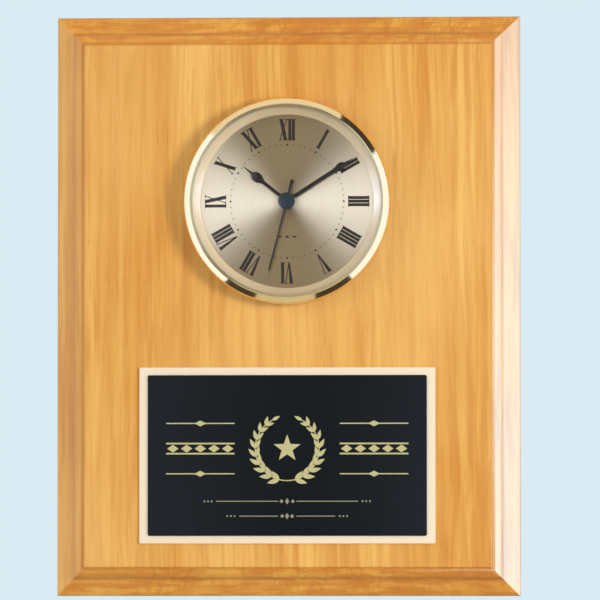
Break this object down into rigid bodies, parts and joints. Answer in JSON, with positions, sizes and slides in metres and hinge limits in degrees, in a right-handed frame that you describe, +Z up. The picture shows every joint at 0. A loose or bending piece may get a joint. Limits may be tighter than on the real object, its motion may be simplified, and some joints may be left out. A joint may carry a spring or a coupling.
{
  "type": "wooden clock plaque",
  "caption": "Wall plaque of moulded solid wood with a round gold-rimmed insert quartz clock above a rectangular black and gold engraving plate.",
  "frame": {"origin": "centre of the board's flat back, in the plane of the wall", "axes": "+Y points into the wall, so the front faces -Y; +X points right as seen from the front and +Z points up"},
  "size_m": [0.2032, 0.028, 0.254],
  "materials": {
    "wood": "satin lacquer over a fine straight grain",
    "tape": "matt foam tape",
    "gold_plate": "satin gold",
    "black_plate": "black lacquer on brass, engraved through to gold",
    "black_plastic": "matt moulded plastic",
    "rubber": "matt",
    "polished_gold": "polished gold plating",
    "glass": "clear and polished",
    "cream": "satin",
    "dial_brass": "circularly brushed and gold-coloured",
    "white_plastic": "moulded plastic",
    "steel": "plain steel",
    "copper": "enamelled copper wire",
    "circuit_green": "solder mask",
    "battery_jacket": "plain printed jacket",
    "magnet": "sintered",
    "hand_black": "black paint"
  },
  "bodies": {
    "plaque": {"board": "wood", "plate_adhesive": "tape", "plate_backing": "gold_plate", "engraving_adhesive": "tape", "engraving_plate": "black_plate"},
    "insert": {"clock_housing": "black_plastic", "gasket": "rubber", "bezel": "polished_gold", "lens": "glass", "reflector_ring": "cream", "dial": "dial_brass", "movement_case_front": "white_plastic", "middle_plate": "white_plastic", "movement_case_back": "black_plastic", "case_screw_1": "steel", "case_screw_2": "steel", "movement_screw_1": "steel", "movement_screw_2": "steel", "stator": "steel", "coil_core": "steel", "coil_bobbin": "white_plastic", "coil_winding": "copper", "stator_screw_1": "steel", "stator_screw_2": "steel", "circuit_board": "circuit_green", "circuit_chip": "black_plastic", "quartz_crystal": "steel", "contact_negative": "steel", "contact_positive": "steel"},
    "battery": {"battery": "battery_jacket"},
    "minute": {"minute_hand": "hand_black", "cannon_pinion": "steel"},
    "motion": {"motion_wheel": "white_plastic"},
    "hour": {"hour_hand": "hand_black", "hour_wheel": "white_plastic"},
    "setting": {"setting_shaft": "white_plastic", "setting_knob": "black_plastic"},
    "seconds": {"second_hand": "hand_black", "seconds_wheel": "white_plastic"},
    "third": {"third_wheel": "white_plastic"},
    "centre": {"centre_wheel": "white_plastic"},
    "intermediate": {"intermediate_wheel": "white_plastic"},
    "rotor": {"rotor_magnet": "magnet", "rotor_pinion": "white_plastic"}
  },
  "joints": [
    {"name": "insert_slide", "type": "slide", "parent": "plaque", "child": "insert", "axis": [0, -1, 0], "range_m": [0, 0.03]},
    {"name": "battery_slide", "type": "slide", "parent": "insert", "child": "battery", "axis": [0, 1, 0], "range_m": [0, 0.02]},
    {"name": "minute_turn", "type": "hinge", "parent": "insert", "child": "minute", "pos_m": [0, 0, 0.0455], "axis": [0, 1, 0], "continuous": true},
    {"name": "motion_turn", "type": "hinge", "parent": "insert", "child": "motion", "pos_m": [-0.00752, 0, 0.04824], "axis": [0, 1, 0], "continuous": true},
    {"name": "hour_turn", "type": "hinge", "parent": "insert", "child": "hour", "pos_m": [0, 0, 0.0455], "axis": [0, 1, 0], "continuous": true},
    {"name": "setting_turn", "type": "hinge", "parent": "insert", "child": "setting", "pos_m": [-0.01541, 0, 0.05111], "axis": [0, 1, 0], "continuous": true},
    {"name": "seconds_turn", "type": "hinge", "parent": "insert", "child": "seconds", "pos_m": [0, 0, 0.0455], "axis": [0, 1, 0], "continuous": true},
    {"name": "third_turn", "type": "hinge", "parent": "insert", "child": "third", "pos_m": [0.00459, 0, 0.05345], "axis": [0, 1, 0], "continuous": true},
    {"name": "centre_turn", "type": "hinge", "parent": "insert", "child": "centre", "pos_m": [0, 0, 0.0455], "axis": [0, 1, 0], "continuous": true},
    {"name": "intermediate_turn", "type": "hinge", "parent": "insert", "child": "intermediate", "pos_m": [0.00745, 0, 0.04419], "axis": [0, 1, 0], "continuous": true},
    {"name": "rotor_turn", "type": "hinge", "parent": "insert", "child": "rotor", "pos_m": [0.0132, 0, 0.04628], "axis": [0, 1, 0], "continuous": true}
  ],
  "couplings": [
    {"joint": "motion_turn", "follows": "minute_turn", "ratio": -0.33333},
    {"joint": "hour_turn", "follows": "minute_turn", "ratio": 0.083333},
    {"joint": "setting_turn", "follows": "minute_turn", "ratio": 0.83333},
    {"joint": "third_turn", "follows": "seconds_turn", "ratio": -0.125},
    {"joint": "centre_turn", "follows": "seconds_turn", "ratio": 0.016667},
    {"joint": "intermediate_turn", "follows": "seconds_turn", "ratio": -6},
    {"joint": "rotor_turn", "follows": "seconds_turn", "ratio": 30}
  ]
}
